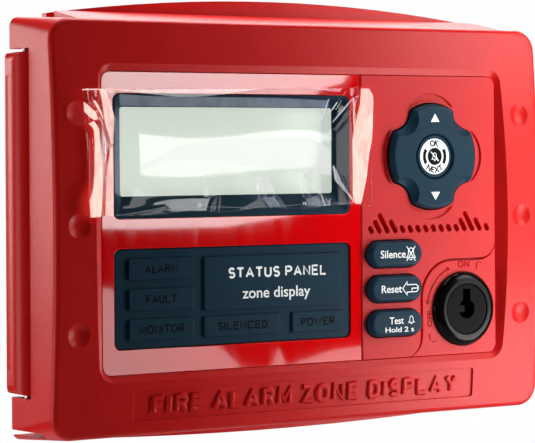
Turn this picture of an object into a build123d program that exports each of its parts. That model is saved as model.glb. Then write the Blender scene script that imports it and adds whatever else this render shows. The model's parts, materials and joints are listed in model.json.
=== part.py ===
from build123d import *
import os

# Wall-mounted fire alarm indicator panel (annunciator) in millimetres.
# Frame: origin at the centre of the wall-screw pattern on the back face, +Z up, +X to the
# right, and the front faces -Y. Heights H are measured from the wall towards the front,
# so a height H lies at y = -H.

# ---- driving dimensions: case ----
CASE_W = 180.8
CASE_H = 125.6
CASE_CORNER_R = 3.0
CASE_DRAFT = 0.06
CORNER_GROWTH = 0.165
CASE_WALL = 2.5
CASE_REAR_H = 0.8
SKIRT_REAR_H = 3.3
CROWN_H = 27.0
CROWN_R = 620.0
FRONT_EDGE_R = 1.6

# ---- pocket in the cover that takes the three fascia panels ----
PANEL_X = 72.4
PANEL_TOP = 46.2
PANEL_BOTTOM = -43.4
PANEL_CORNER_R = 3.0
PANEL_H = 24.0
KEYPAD_PROUD = 0.3
PANEL_THICK = 2.0
FLOOR_THICK = 2.0
POCKET_WALL = 2.4
RIM_GROWTH_SIDE = 4.1
RIM_GROWTH_TOP = 8.2
RIM_GROWTH_BOTTOM = 5.6
RIM_CORNER_R = 8.5
RIM_LOFT_H = 28.0
PANEL_GAP = 0.15
SPLIT_X = 19.6

# ---- cover details ----
TEXT_FRAME_X = 62.4
TEXT_FRAME_TOP = -47.9
TEXT_FRAME_BOTTOM = -57.1
TEXT_FRAME_DEPTH = 0.6
DIMPLE_X = 81.0
DIMPLE_Z = (34.0, 1.0, -31.0)
DIMPLE_SPHERE_R = 7.0
DIMPLE_DEPTH = 1.0
LEDGE_X = 78.0
LEDGE_PROFILE = [(4.2, 58.0), (4.2, 64.8), (13.5, 63.0), (22.6, 61.3), (22.6, 58.0)]
SLOT_CUT_X = (79.0, 96.0)
SLOT_CUT_Z = (-61.2, -59.6)
SLOT_CUT_H = 16.0

# ---- hinge on the left, latch tabs on the right ----
HINGE_X = -87.6
HINGE_H = 6.0
RAIL_Z = (-49.0, 52.1)
RAIL_GAP = 1.0
RAIL_OUTER_X = -92.7
RAIL_INNER_X = -84.5
RAIL_FRONT_H = 11.4
RAIL_CORNER_R = 3.0
RAIL_DISH_R = 6.0
RAIL_DISH_DEPTH = 0.25
NOTCH_H = 12.1
NOTCH_X = -81.5
EAR_LENGTH = 4.4
EAR_R = 4.0
PIN_R = 1.2
PIN_CLEARANCE = 0.06
PIN_DEPTH = 8.0

# ---- backplate ----
BASE_X = (-84.6, 85.5)
BASE_Z = 57.8
BASE_THICK = 2.0
FLANGE_THICK = 3.0
FLANGE_X = 79.2
FLANGE_GAP = 1.5
TOP_ARCH_APEX = 69.6
TOP_ARCH_R = 569.0
BOTTOM_ARCH_APEX = -65.5
BOTTOM_ARCH_R = 1293.0
CABLE_W = 54.0
CABLE_Z = 44.0
GANG_PITCH_X = 92.08
GANG_PITCH_Z = 83.34
GANG_SLOT = (8.0, 2.1)
WALL_SCREW_X = 152.0
WALL_SCREW_Z = 98.0
WALL_SCREW_R = 2.3
LATCH_Z = (-30.0, 32.0)
LATCH_TALL = 14.0
LATCH_THICK = 1.5
LATCH_H = 10.0

# ---- display ----
FRAME_X = (-68.2, 15.3)
FRAME_Z = (2.8, 39.5)
FRAME_FRONT_H = 23.8
FRAME_FLANGE = 1.5
VIEW_X = (-64.4, 10.9)
VIEW_Z = (9.2, 35.7)
VIEW_H = 20.8
WINDOW_H = (19.4, 20.5)
LCD_CENTRE = (-26.75, 22.45)
LCD_FRONT_H = 19.0
LCD_BOARD_H = (12.6, 14.2)

# ---- indicator window ----
LABEL_X = (-68.0, 15.3)
LABEL_Z = (-35.8, -6.4)
LABEL_H = 23.5
TILE_RISE = 0.7
LEFT_TILES_X = (-63.5, -41.3)
LEFT_TILES_Z = (-12.3, -21.3, -30.2)
TILE_TALL = 6.2
PLATE_X = (-37.6, 11.9)
PLATE_Z = (-25.4, -9.3)
LOWER_TILES_X = ((-37.7, -10.7), (-6.3, 12.2))
LOWER_TILES_Z = -30.3

# ---- keypad ----
PAD_X = 46.7
PAD_Z = 20.4
PAD_R = 16.7
PAD_FRONT_H = 26.6
PAD_BACK_H = 18.2
PAD_CLEARANCE = 0.45
SCALLOP_R = 7.3
SCALLOP_REACH = 21.6
SCOOP_R = 8.0
SCOOP_REACH = 16.8
SCOOP_DEPTH = 2.2
WELL_R = 7.1
ACK_R = 6.8
ACK_FRONT_H = 26.2
KEY_X = 31.5
KEY_W = 20.6
KEY_TALL = 8.35
KEY_FRONT_H = 26.6
KEY_BACK_H = 18.4
KEY_CLEARANCE = 0.35
KEY_Z = {"silence_button": -10.3, "reset_button": -21.25, "test_button": -32.15}
CRESCENT_REACH = 20.1
CRESCENT_INNER_R = 17.8
CRESCENT_OUTER_R = 10.4
CRESCENT_DEPTH = 0.6
KEYPAD_BOARD_H = (13.0, 14.6)
MAT_H = (14.6, 15.4)
KEYPAD_BOSSES = [(18.3, -15.8), (18.3, -37.0), (44.2, -15.8), (26.0, 40.0), (68.0, 40.0), (68.0, 4.5)]

# ---- sounder slots ----
SLOT_COUNT = 16
SLOT_FIRST_X = 23.4
SLOT_PITCH = 3.04
SLOT_W = 1.65
SLOT_BOTTOM = -3.85
SLOT_LEAN = 30.0
SLOT_TOPS = {1: 0.6, 2: 2.7, 3: 0.6, 12: 0.6, 13: 2.7, 14: 0.6}
SLOT_SHORT_TOP = -1.3

# ---- key switch ----
LOCK_X = 58.9
LOCK_Z = -28.7
LOCK_BASE_R = 12.0
LOCK_RING_R = 8.9
LOCK_FRONT_H = 26.75
BARREL_R = 9.5
BARREL_REAR_H = 9.0
PLUG_FACE_R = 8.15
PLUG_SHAFT_R = 6.5
PLUG_FIT = 0.06

# ---- S-shaped split between the keypad panel and the lock panel ----
SPLIT_FOOT_X = 42.6
SPLIT_SHELF_Z = -12.8
SPLIT_EDGE_R = 6.4
SPLIT_BEND_R = 12.0
SPLIT_GROOVE = 0.7

# ---- electronics ----
BOARD_H = (9.4, 11.0)
BOARD_SCREWS = [(-75.0, 55.0), (30.0, 55.0), (75.0, 50.0), (-75.0, -50.0), (38.0, -50.0), (75.0, -9.5)]
LCD_SCREWS = [(-73.25, -5.0), (19.75, -5.0), (-73.25, 49.9), (19.75, 49.9)]
SCREW_R = 1.1
BOSS_R = 2.3
BEZEL_UNDERSIDE_H = 23.5
SOUNDER_AT = (60.0, -4.5)
TERMINAL_COUNT = 8
TERMINAL_PITCH = 5.08


def block(sketch, low, high, taper=0.0):
    """A face outline drawn in X and Z, made solid from height low to height high."""
    return extrude(Plane.XZ.offset(low) * sketch, amount=high - low, taper=taper)


def rect(x, z, radius=0.0):
    """A rectangle between two x values and two z values, with round corners if asked."""
    width = x[1] - x[0]
    tall = z[1] - z[0]
    shape = RectangleRounded(width, tall, radius) if radius else Rectangle(width, tall)
    return Pos((x[0] + x[1]) / 2, (z[0] + z[1]) / 2) * shape


def grown(pair, amount):
    """A low and high value, each moved outwards by amount."""
    return (pair[0] - amount, pair[1] + amount)


def disc(x, z, radius):
    return Pos(x, z) * Circle(radius)


def post(x, z, radius, low, high):
    """A round pillar along the front-to-back direction."""
    return block(disc(x, z, radius), low, high)


def crown(drop=0.0):
    """The barrel-shaped solid whose surface is the front of the case, sunk by drop."""
    centre_y = CROWN_R - CROWN_H
    return Pos(0, centre_y, 0) * Cylinder(CROWN_R - drop, 300, rotation=(0, 90, 0))


def crown_height(z):
    """Height of the crowned front at a height z up the case."""
    return CROWN_H - CROWN_R + (CROWN_R**2 - z**2) ** 0.5


def case_outline(height, inset=0.0):
    """The case's outline at a height from the wall: it narrows and rounds off to the front."""
    rise = height - CASE_REAR_H
    shrink = 2 * (CASE_DRAFT * rise + inset)
    radius = max(CASE_CORNER_R + CORNER_GROWTH * rise - inset, 0.5)
    return RectangleRounded(CASE_W - shrink, CASE_H - shrink, radius)


def case_block(low, inset=0.0):
    """The drafted case as a solid, from a height to past the crowned front."""
    ends = Sketch()
    for height in (low, CROWN_H + 3):
        ends += Plane.XZ.offset(height) * case_outline(height, inset)
    return loft(ends.faces(), ruled=True)


def pocket_outline(growth=0.0):
    x = grown((-PANEL_X, PANEL_X), growth)
    return rect(x, grown((PANEL_BOTTOM, PANEL_TOP), growth), PANEL_CORNER_R + growth)


def key_outline(z, growth=0.0):
    """A key's round-ended outline."""
    tall = KEY_TALL + 2 * growth
    return Pos(KEY_X, z) * RectangleRounded(KEY_W + 2 * growth, tall, tall / 2 - 0.01)


def pad_outline(growth=0.0):
    """The navigation pad: a disc with a scallop out of each corner."""
    shape = Circle(PAD_R + growth)
    for turn in (45, 135, 225, 315):
        shape -= Rot(0, 0, turn) * Pos(SCALLOP_REACH, 0) * Circle(SCALLOP_R - growth)
    shape = fillet(shape.vertices(), 1.6)
    return Pos(PAD_X, PAD_Z) * shape


def sounder_slots():
    """Leaning sound slots in a row, taller in two peaks."""
    half = SLOT_W / 2
    slots = []
    for number in range(SLOT_COUNT):
        top = SLOT_TOPS.get(number, SLOT_SHORT_TOP) - half
        bottom = SLOT_BOTTOM + half
        x = SLOT_FIRST_X + number * SLOT_PITCH
        length = (top - bottom) / 0.866
        middle = (x - length / 4, (top + bottom) / 2)
        slots.append(Pos(*middle) * Rot(0, 0, 90 + SLOT_LEAN) * SlotCenterToCenter(length, SLOT_W))
    return Sketch() + slots


def lock_area(growth=0.0):
    """The lower right area that the lock panel fills, up to the S-shaped split."""
    foot = SPLIT_FOOT_X - growth
    shelf = SPLIT_SHELF_Z + growth
    edge_r = SPLIT_EDGE_R - growth
    bend_r = SPLIT_BEND_R + growth
    right = PANEL_X + 1.0
    low = PANEL_BOTTOM - 1.0
    foot_start = (foot - edge_r, PANEL_BOTTOM)
    foot_end = (foot, PANEL_BOTTOM + edge_r)
    bend_start = (foot, shelf - bend_r)
    bend_end = (foot + bend_r, shelf)
    rise_start = (PANEL_X - edge_r, shelf)
    rise_end = (PANEL_X, shelf + edge_r)
    line = Line((foot_start[0], low), foot_start)
    line += RadiusArc(foot_start, foot_end, -edge_r)
    line += Line(foot_end, bend_start)
    line += RadiusArc(bend_start, bend_end, bend_r)
    line += Line(bend_end, rise_start)
    line += RadiusArc(rise_start, rise_end, -edge_r)
    line += Polyline(rise_end, (right, rise_end[1]), (right, low), (foot_start[0], low))
    return make_face(line)


def front_cover():
    body = case_block(CASE_REAR_H) & crown()
    front = body.faces().sort_by(Axis.Y)[0]
    body = fillet(front.edges(), FRONT_EDGE_R)
    body = body.solid()

    # low pitched rib along the top
    profile = make_face(Polyline(*[(-h, z) for h, z in LEDGE_PROFILE], close=True))
    ledge = extrude(Plane.YZ.offset(-LEDGE_X) * profile, amount=2 * LEDGE_X)
    body += chamfer(ledge.edges().filter_by(Axis.Z).sort_by(Axis.Y)[-2:], 1.5)

    # hollow inside, with a floor and side walls for the pocket
    floor_rear = PANEL_H - PANEL_THICK - FLOOR_THICK
    inside = case_block(0, CASE_WALL) & crown(CASE_WALL)
    inside -= block(pocket_outline(POCKET_WALL), floor_rear, CROWN_H + 3)
    body -= inside

    # pocket for the panels, with sloping walls up to the crowned front
    body -= block(pocket_outline(), PANEL_H - PANEL_THICK, PANEL_H)
    rim_x = grown((-PANEL_X, PANEL_X), RIM_GROWTH_SIDE)
    rim_z = (PANEL_BOTTOM - RIM_GROWTH_BOTTOM, PANEL_TOP + RIM_GROWTH_TOP)
    slope = Sketch() + Plane.XZ.offset(PANEL_H) * pocket_outline()
    slope += Plane.XZ.offset(RIM_LOFT_H) * rect(rim_x, rim_z, RIM_CORNER_R)
    body -= loft(slope.faces(), ruled=True)

    # shallow lettering frame that follows the crown, and the grip dimples
    frame = rect((-TEXT_FRAME_X, TEXT_FRAME_X), (TEXT_FRAME_BOTTOM, TEXT_FRAME_TOP), 0.9)
    body -= block(frame, 20, CROWN_H + 1) - crown(TEXT_FRAME_DEPTH)
    for x in (-DIMPLE_X, DIMPLE_X):
        for z in DIMPLE_Z:
            height = crown_height(z) + DIMPLE_SPHERE_R - DIMPLE_DEPTH
            body -= Pos(x, -height, z) * Sphere(DIMPLE_SPHERE_R)

    # bosses for the boards, run up into the floor or the underside of the bezel
    for x, z in BOARD_SCREWS:
        body += post(x, z, BOSS_R, BOARD_H[1], BEZEL_UNDERSIDE_H)
    for x, z in LCD_SCREWS:
        top = BEZEL_UNDERSIDE_H if z > PANEL_TOP else floor_rear + 0.5
        body += post(x, z, BOSS_R - 0.1, LCD_BOARD_H[1], top)
    for x, z in KEYPAD_BOSSES:
        body += post(x, z, BOSS_R - 0.1, KEYPAD_BOARD_H[1], floor_rear + 0.5)
    for x, z in BOARD_SCREWS:
        body -= post(x, z, SCREW_R, BOARD_H[1] - 1, BOARD_H[1] + 6)
    for x, z in LCD_SCREWS:
        body -= post(x, z, SCREW_R, LCD_BOARD_H[1] - 1, LCD_BOARD_H[1] + 4)
    for x, z in KEYPAD_BOSSES:
        body -= post(x, z, SCREW_R, KEYPAD_BOARD_H[1] - 1, KEYPAD_BOARD_H[1] + 4)

    # openings through the floor for the display, the indicators, the keys and the lock
    holes = rect(grown(FRAME_X, 0.15), grown(FRAME_Z, 0.15), 2.15)
    holes += rect((-66.0, 14.0), (-35.0, -8.2), 1.0)
    for z in KEY_Z.values():
        holes += key_outline(z, KEY_CLEARANCE)
    holes += disc(LOCK_X, LOCK_Z, BARREL_R + 0.1)
    holes += pad_outline(PAD_CLEARANCE)
    holes += sounder_slots()
    body -= block(holes, floor_rear - 0.5, PANEL_H - PANEL_THICK + 0.5)

    # rear edge: stepped back over the backplate's flanges, and open over the hinge rail
    middle = FLANGE_X + FLANGE_GAP
    body -= block(rect((-middle, middle), (57.0, 70.0)), 0, SKIRT_REAR_H)
    body -= block(rect((-middle, middle), (-70.0, -57.0)), 0, SKIRT_REAR_H)
    body -= block(rect((-100.0, NOTCH_X), grown(RAIL_Z, RAIL_GAP)), 0, NOTCH_H)

    # slots across the lower corners
    slot = block(rect(SLOT_CUT_X, SLOT_CUT_Z), 0, SLOT_CUT_H)
    body -= slot + mirror(slot, Plane.YZ)

    # hinge ears above and below the rail
    for low in (RAIL_Z[1] + RAIL_GAP, RAIL_Z[0] - RAIL_GAP - EAR_LENGTH):
        ear = Pos(HINGE_X, -HINGE_H, low + EAR_LENGTH / 2) * Cylinder(EAR_R, EAR_LENGTH)
        web = Pos(HINGE_X, -HINGE_H - 5.0, low + EAR_LENGTH / 2) * Box(3.8, 10.0, EAR_LENGTH)
        body += (ear + web) & case_block(0, 0.4)
        body -= Pos(HINGE_X, -HINGE_H, low + EAR_LENGTH / 2) * Cylinder(PIN_R, EAR_LENGTH + 0.2)
    return body


def rail_profile():
    """Rounded outline of the hinge rail, in X and height."""
    line = Line((RAIL_INNER_X, 0), (RAIL_INNER_X, RAIL_FRONT_H - 1.0))
    line += RadiusArc((RAIL_INNER_X, RAIL_FRONT_H - 1.0), (RAIL_INNER_X - 1.0, RAIL_FRONT_H), -1.0)
    line += Line((RAIL_INNER_X - 1.0, RAIL_FRONT_H), (HINGE_X, RAIL_FRONT_H))
    line += RadiusArc((HINGE_X, RAIL_FRONT_H), (RAIL_OUTER_X, HINGE_H + 0.4), -5.2)
    line += Polyline((RAIL_OUTER_X, HINGE_H + 0.4), (RAIL_OUTER_X, 2.2), (-91.2, 0), (RAIL_INNER_X, 0))
    return make_face(line)


def arch(apex, radius, sign):
    """A disc whose rim is a shallow arch with its top (or bottom) at apex."""
    return Pos(0, apex - sign * radius) * Circle(radius)


def backplate():
    plate = block(rect(BASE_X, (-BASE_Z, BASE_Z), 5.0), 0, BASE_THICK)
    for z in (57.0, -57.0):
        plate -= Pos(-86, 0, z) * Box(11.5, 8, 14.0 if z < 0 else 8.0)

    top = rect((-FLANGE_X, FLANGE_X), (54.0, 75.0), 2.0) & arch(TOP_ARCH_APEX, TOP_ARCH_R, 1)
    plate += block(top, 0, FLANGE_THICK)
    bottom = rect((-FLANGE_X, FLANGE_X), (-72.0, -54.0), 2.0)
    bottom &= arch(BOTTOM_ARCH_APEX, BOTTOM_ARCH_R, -1)
    plate += block(bottom, 0, FLANGE_THICK)

    # stiffening rib round the tray, and latch tabs at the right
    rib = rect((-78.0, 83.0), (-54.0, 54.0), 4.0) - rect((-76.6, 81.6), (-52.6, 52.6), 3.0)
    plate += block(rib, BASE_THICK, BASE_THICK + 2.2)
    for z in LATCH_Z:
        tab_z = (z - LATCH_TALL / 2, z + LATCH_TALL / 2)
        tab = block(rect((BASE_X[1] - LATCH_THICK, BASE_X[1]), tab_z), BASE_THICK - 0.5, LATCH_H)
        plate += chamfer(tab.faces().sort_by(Axis.Y)[0].edges(), 0.5)

    # hinge rail, faintly dished down its outside
    tall = RAIL_Z[1] - RAIL_Z[0]
    base = Plane((0, 0, RAIL_Z[0]), x_dir=(1, 0, 0), z_dir=(0, 0, 1))
    rail = extrude(base * mirror(rail_profile(), Plane.XZ), amount=tall)
    rail &= block(rect((RAIL_OUTER_X, RAIL_INNER_X + 6), RAIL_Z, RAIL_CORNER_R), 0, RAIL_FRONT_H)
    dish_x = RAIL_OUTER_X - RAIL_DISH_R + RAIL_DISH_DEPTH
    rail -= Pos(dish_x, -HINGE_H + 1.5, (RAIL_Z[0] + RAIL_Z[1]) / 2) * Cylinder(RAIL_DISH_R, tall - 14)
    plate += rail
    for end, way in ((RAIL_Z[1], -1), (RAIL_Z[0], 1)):
        middle = end + way * PIN_DEPTH / 2
        plate -= Pos(HINGE_X, -HINGE_H, middle) * Cylinder(PIN_R + PIN_CLEARANCE, PIN_DEPTH + 1)

    # cable opening, box slots and wall-screw holes
    holes = RectangleRounded(CABLE_W, CABLE_Z, 4.0)
    for x in (-GANG_PITCH_X / 2, GANG_PITCH_X / 2):
        for z in (-GANG_PITCH_Z / 2, GANG_PITCH_Z / 2):
            holes += Pos(x, z) * SlotOverall(GANG_SLOT[0], 2 * GANG_SLOT[1])
    for z in (-GANG_PITCH_Z / 2, GANG_PITCH_Z / 2):
        holes += Pos(0, z) * Rot(0, 0, 90) * SlotOverall(GANG_SLOT[0], 2 * GANG_SLOT[1])
    for x in (-WALL_SCREW_X / 2, WALL_SCREW_X / 2):
        for z in (-WALL_SCREW_Z / 2, WALL_SCREW_Z / 2):
            holes += disc(x, z, WALL_SCREW_R)
    return plate - block(holes, -1, 8)


def hinge_pin(end, way):
    """A steel pin from the far face of the ear down into the rail's bore."""
    outside = end + way * (RAIL_GAP + EAR_LENGTH)
    inside = end - way * (PIN_DEPTH - 0.5)
    pin = Pos(HINGE_X, -HINGE_H, (outside + inside) / 2) * Cylinder(PIN_R, abs(outside - inside))
    return chamfer(pin.edges(), 0.3)


def display_panel():
    face = pocket_outline(-PANEL_GAP) & rect((-PANEL_X, SPLIT_X - 0.1), (PANEL_BOTTOM, PANEL_TOP))
    face -= rect(grown(FRAME_X, 0.15), grown(FRAME_Z, 0.15), 2.15)
    face -= rect(grown(LABEL_X, 0.2), grown(LABEL_Z, 0.2), 2.2)
    panel = block(face, PANEL_H - PANEL_THICK, PANEL_H)
    return chamfer(panel.faces().sort_by(Axis.Y)[0].edges(), 0.12)


def keypad_side():
    return pocket_outline(-PANEL_GAP) & rect((SPLIT_X + 0.1, PANEL_X), (PANEL_BOTTOM, PANEL_TOP))


def crescents():
    """Four shallow lens shapes round the pad."""
    shape = Sketch()
    for turn in (0, 90, 180, 270):
        lens = Pos(CRESCENT_REACH - CRESCENT_OUTER_R, 0) * Circle(CRESCENT_OUTER_R)
        lens -= Circle(CRESCENT_INNER_R)
        shape += Rot(0, 0, turn) * lens
    return Pos(PAD_X, PAD_Z) * shape


def keypad_panel():
    face = keypad_side() - lock_area(SPLIT_GROOVE / 2)
    for z in KEY_Z.values():
        face -= key_outline(z, KEY_CLEARANCE)
    face -= pad_outline(PAD_CLEARANCE)
    face -= sounder_slots()
    front = PANEL_H + KEYPAD_PROUD
    panel = block(face, PANEL_H - PANEL_THICK, front)
    outer = panel.faces().sort_by(Axis.Y)[0].outer_wire().edges()
    panel = fillet(outer, 0.25)
    return panel - block(crescents(), front - CRESCENT_DEPTH, front + 1)


def lock_panel():
    face = (keypad_side() & lock_area(-SPLIT_GROOVE / 2)) - disc(LOCK_X, LOCK_Z, BARREL_R + 0.1)
    panel = block(face, PANEL_H - PANEL_THICK, PANEL_H + KEYPAD_PROUD)
    outer = panel.faces().sort_by(Axis.Y)[0].outer_wire().edges()
    return fillet(outer, 0.25)


def display_frame():
    """Navy surround that funnels down to the display, with a flange behind the floor."""
    floor_rear = PANEL_H - PANEL_THICK - FLOOR_THICK
    body = block(rect(FRAME_X, FRAME_Z, 2.0), floor_rear, FRAME_FRONT_H)
    body += block(rect(grown(FRAME_X, FRAME_FLANGE), grown(FRAME_Z, FRAME_FLANGE), 3.0), 19.1, floor_rear)
    mouth = Sketch() + Plane.XZ.offset(VIEW_H) * rect(VIEW_X, VIEW_Z, 0.8)
    mouth += Plane.XZ.offset(FRAME_FRONT_H) * rect(grown(FRAME_X, -0.7), grown(FRAME_Z, -0.7), 1.5)
    body -= loft(mouth.faces(), ruled=True)
    body -= block(rect(VIEW_X, VIEW_Z, 0.8), 18.0, VIEW_H)
    return body - block(rect(grown(VIEW_X, 1.3), grown(VIEW_Z, 1.3)), 18.0, WINDOW_H[1])


def display_window():
    return block(rect(grown(VIEW_X, 1.2), grown(VIEW_Z, 1.2)), *WINDOW_H)


def lcd_outline(width, tall, radius=0.0):
    x = grown((LCD_CENTRE[0], LCD_CENTRE[0]), width / 2)
    return rect(x, grown((LCD_CENTRE[1], LCD_CENTRE[1]), tall / 2), radius)


def lcd_bezel():
    shell = block(lcd_outline(97.0, 40.0, 1.0), LCD_BOARD_H[1], LCD_FRONT_H)
    shell -= block(lcd_outline(95.8, 38.8, 0.6), LCD_BOARD_H[1] - 1, LCD_FRONT_H - 0.6)
    return shell - block(lcd_outline(78.6, 29.8, 0.8), LCD_BOARD_H[1], LCD_FRONT_H + 1)


def lcd_glass():
    upper = block(lcd_outline(90.0, 37.0), 17.3, LCD_FRONT_H - 0.6)
    return upper + block(lcd_outline(90.0, 34.0), 16.2, 17.3)


def lcd_backlight():
    return block(lcd_outline(92.0, 36.0, 1.0), LCD_BOARD_H[1], 16.2)


def lcd_board():
    outline = lcd_outline(98.0, 59.4, 1.0)
    for x, z in LCD_SCREWS:
        outline -= disc(x, z, SCREW_R + 0.15)
    return block(outline, *LCD_BOARD_H)


def tile_areas():
    """The raised label tiles of the indicator window, as x and z pairs."""
    half = TILE_TALL / 2
    tiles = [(LEFT_TILES_X, (z - half, z + half)) for z in LEFT_TILES_Z]
    return tiles + [(x, (LOWER_TILES_Z - half, LOWER_TILES_Z + half)) for x in LOWER_TILES_X]


def label_window():
    body = block(rect(LABEL_X, LABEL_Z, 2.0), PANEL_H - PANEL_THICK, LABEL_H)
    body = fillet(body.faces().sort_by(Axis.Y)[0].edges(), 0.3)
    for x, z in tile_areas() + [(PLATE_X, PLATE_Z)]:
        tile = block(rect(x, z, 0.5), LABEL_H - 0.4, LABEL_H + TILE_RISE)
        body += fillet(tile.faces().sort_by(Axis.Y)[0].edges(), 0.3)
    return body


def led_light_guide():
    """Baffle block with one light channel behind each lit tile."""
    guide = block(rect((-65.5, 13.5), (-34.5, -8.6), 0.8), BOARD_H[1], PANEL_H - PANEL_THICK - 0.1)
    for x, z in tile_areas():
        guide -= block(rect(grown(x, -0.6), grown(z, -0.6)), BOARD_H[1] - 1, PANEL_H)
    return guide


def indicator_leds():
    leds = []
    for x, z in tile_areas():
        middle = ((x[0] + x[1]) / 2, (z[0] + z[1]) / 2)
        base = block(Pos(*middle) * Rectangle(5.0, 3.6), BOARD_H[1], BOARD_H[1] + 1.4)
        leds.append(base + post(middle[0], middle[1], 1.5, BOARD_H[1] + 1.4, BOARD_H[1] + 2.6))
    return Compound(children=leds)


def nav_pad():
    body = block(pad_outline(), PAD_BACK_H, PAD_FRONT_H)
    body = fillet(body.faces().sort_by(Axis.Y)[0].edges(), 1.4)
    body += post(PAD_X, PAD_Z, PAD_R + 0.9, PAD_BACK_H, PAD_BACK_H + 0.8)
    scoop_h = PAD_FRONT_H + SCOOP_R - SCOOP_DEPTH
    for turn in (45, 135, 225, 315):
        arm = Vector(SCOOP_REACH, 0, 0).rotate(Axis.Y, turn)
        body -= Pos(PAD_X + arm.X, -scoop_h, PAD_Z + arm.Z) * Sphere(SCOOP_R)
    body -= post(PAD_X, PAD_Z, WELL_R, PAD_BACK_H - 1, PAD_FRONT_H + 1)
    rim = body.edges().filter_by(GeomType.CIRCLE).filter_by(lambda e: abs(e.radius - WELL_R) < 0.01)
    return chamfer(rim.sort_by(Axis.Y)[0], 0.5)


def ack_button():
    body = post(PAD_X, PAD_Z, ACK_R, 18.0, ACK_FRONT_H)
    body = fillet(body.edges().sort_by(Axis.Y)[0], 0.4)
    return body + post(PAD_X, PAD_Z, 8.0, 16.9, 18.0)


def key_button(z):
    body = block(key_outline(z), KEY_BACK_H, KEY_FRONT_H)
    body = fillet(body.faces().sort_by(Axis.Y)[0].edges(), 1.5)
    return body + block(key_outline(z, 0.6), KEY_BACK_H, KEY_BACK_H + 1.2)


def keypad_outline():
    outer = [(23.0, 42.5), (71.5, 42.5), (71.5, 2.0), (46.2, 2.0), (46.2, -40.0)]
    outer += [(15.8, -40.0), (15.8, -8.6), (23.0, -8.6)]
    return make_face(Polyline(*outer, close=True))


def keypad_board():
    outline = keypad_outline()
    for x, z in KEYPAD_BOSSES:
        outline -= disc(x, z, SCREW_R + 0.15)
    return block(outline, *KEYPAD_BOARD_H)


def dome(x, z, top):
    """One silicone dome of the mat, narrower at its top."""
    low = MAT_H[1] - 0.2
    return block(disc(x, z, 3.4), low, low + 0.8, taper=30) + post(x, z, 2.4, low + 0.4, top)


def keypad_mat():
    sheet = block(keypad_outline(), *MAT_H)
    for x, z in KEYPAD_BOSSES:
        sheet -= post(x, z, BOSS_R + 0.3, MAT_H[0] - 1, MAT_H[1] + 1)
    for z in KEY_Z.values():
        for x in (KEY_X - 6.0, KEY_X + 6.0):
            sheet += dome(x, z, KEY_BACK_H)
    for z in (PAD_Z - 12.0, PAD_Z + 12.0):
        sheet += dome(PAD_X, z, PAD_BACK_H)
    return sheet + dome(PAD_X, PAD_Z, 16.9)


def screws(places, board, length, head_r=2.3):
    """Pan-head screws through a board into the cover's bosses."""
    made = []
    for x, z in places:
        head = post(x, z, head_r, board[0] - 1.3, board[0])
        head = fillet(head.edges().sort_by(Axis.Y)[-1], 0.6)
        head -= Pos(x, -(board[0] - 1.2), z) * Box(0.6, 0.8, 2.6)
        head -= Pos(x, -(board[0] - 1.2), z) * Box(2.6, 0.8, 0.6)
        made.append(head + post(x, z, SCREW_R, board[0], board[0] + length))
    return Compound(children=made)


def key_switch_body():
    """Lock body: domed bezel and a long barrel through the panel."""
    front = PANEL_H + KEYPAD_PROUD
    profile = Line((PLUG_FACE_R + 0.1, front), (LOCK_BASE_R, front))
    profile += Line((LOCK_BASE_R, front), (LOCK_BASE_R, front + 0.5))
    profile += RadiusArc((LOCK_BASE_R, front + 0.5), (LOCK_RING_R + 0.3, LOCK_FRONT_H), -3.4)
    profile += Line((LOCK_RING_R + 0.3, LOCK_FRONT_H), (PLUG_FACE_R + 0.1, LOCK_FRONT_H))
    profile += Line((PLUG_FACE_R + 0.1, LOCK_FRONT_H), (PLUG_FACE_R + 0.1, front))
    dome_face = Plane((0, 0, 0), x_dir=(1, 0, 0), z_dir=(0, 0, 1)) * mirror(make_face(profile), Plane.XZ)
    bezel = Pos(LOCK_X, 0, LOCK_Z) * revolve(dome_face, Axis.Y)
    barrel = post(LOCK_X, LOCK_Z, BARREL_R, BARREL_REAR_H, front + 0.2)
    barrel -= post(LOCK_X, LOCK_Z, PLUG_FACE_R + 0.1, front - 1.0, front + 1.0)
    barrel -= post(LOCK_X, LOCK_Z, PLUG_SHAFT_R + PLUG_FIT, BARREL_REAR_H - 1, front)
    return bezel + barrel


def key_plug():
    front = LOCK_FRONT_H - 0.25
    body = post(LOCK_X, LOCK_Z, PLUG_FACE_R, PANEL_H - 0.6, front)
    body = chamfer(body.edges().sort_by(Axis.Y)[0], 0.25)
    body += post(LOCK_X, LOCK_Z, PLUG_SHAFT_R, BARREL_REAR_H, PANEL_H - 0.6)
    body += post(LOCK_X, LOCK_Z, 2.5, BARREL_REAR_H - 4.5, BARREL_REAR_H)
    keyway = rect((-1.45, 1.45), (0.0, 6.4)) + Circle(3.1)
    keyway -= rect((-3.4, -0.9), (-1.0, 1.2))
    return body - block(Pos(LOCK_X, LOCK_Z) * keyway, front - 12.0, front + 1)


def lock_nut():
    ring = Pos(LOCK_X, LOCK_Z) * (RegularPolygon(13.2, 6) - Circle(BARREL_R))
    return block(ring, 17.0, PANEL_H - PANEL_THICK - FLOOR_THICK)


def contact_block():
    body = block(Pos(LOCK_X, LOCK_Z) * RectangleRounded(18.0, 18.0, 1.5), 3.6, BARREL_REAR_H)
    return body - post(LOCK_X, LOCK_Z, 2.5 + PLUG_FIT, 4.2, BARREL_REAR_H + 1)


def main_board():
    outer = [(-78.0, -54.0), (43.0, -54.0), (43.0, -13.0), (79.0, -13.0), (79.0, 57.5), (-78.0, 57.5)]
    outline = make_face(Polyline(*outer, close=True))
    for x, z in BOARD_SCREWS:
        outline -= disc(x, z, SCREW_R + 0.15)
    return block(outline, *BOARD_H)


def behind_board(x, z, width, tall, deep):
    """A box-shaped component on the board's rear side."""
    return block(Pos(x, z) * Rectangle(width, tall), BOARD_H[0] - deep, BOARD_H[0])


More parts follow.
